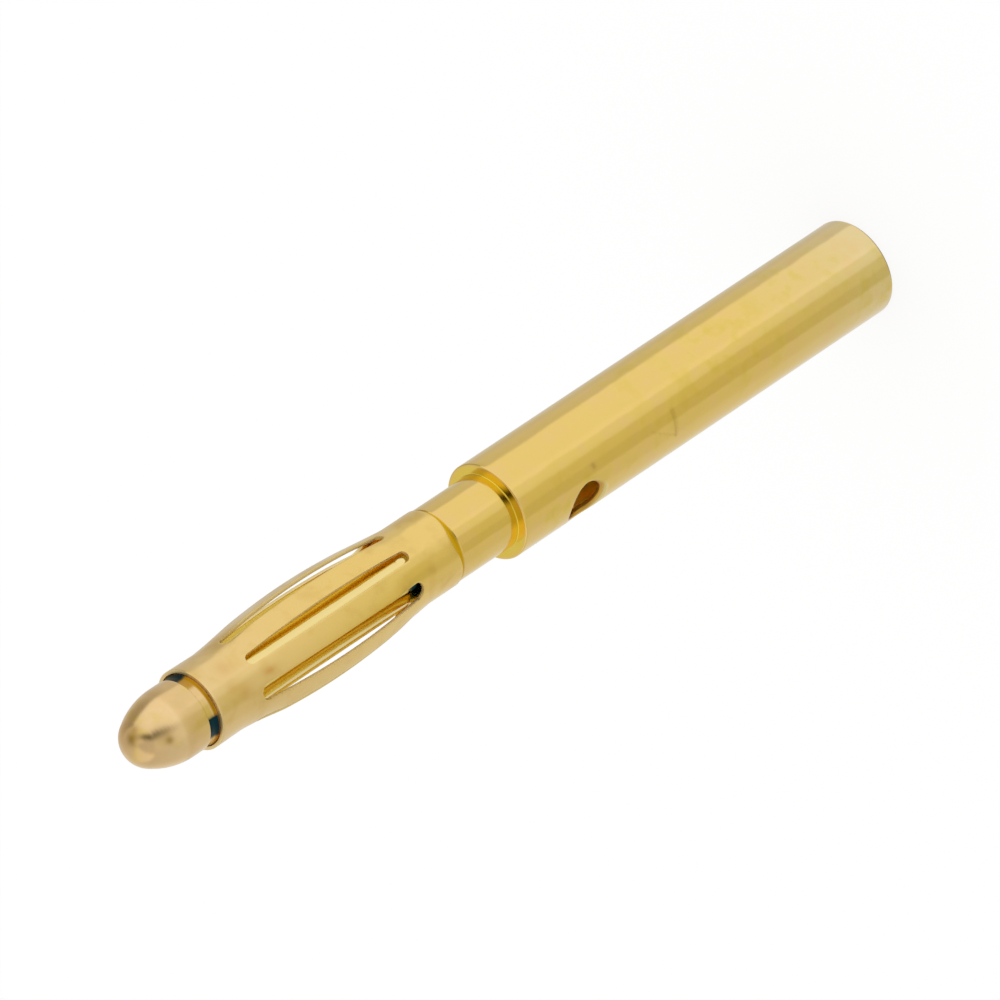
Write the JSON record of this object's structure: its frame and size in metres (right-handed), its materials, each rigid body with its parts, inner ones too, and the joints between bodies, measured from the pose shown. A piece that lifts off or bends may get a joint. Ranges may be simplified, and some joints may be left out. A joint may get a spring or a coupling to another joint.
{
  "type": "stackable banana plug",
  "caption": "Slim gold-plated plug contact with a bullet nose, a bulged lantern spring, a plain neck and a long barrel whose rear socket takes another plug.",
  "frame": {"origin": "centre of the barrel's rear face, on which the plug stands", "axes": "+Z along the plug's axis from the rear socket to the nose, the wire hole opens along -Y"},
  "size_m": [0.0048, 0.0048, 0.0483],
  "materials": {
    "gold_plated_brass": "turned brass with a bright gold plating",
    "gold_plated_spring": "rolled spring sheet with a bright gold plating"
  },
  "bodies": {
    "root": {"contact_body": "gold_plated_brass", "lantern_spring": "gold_plated_spring"}
  },
  "joints": []
}
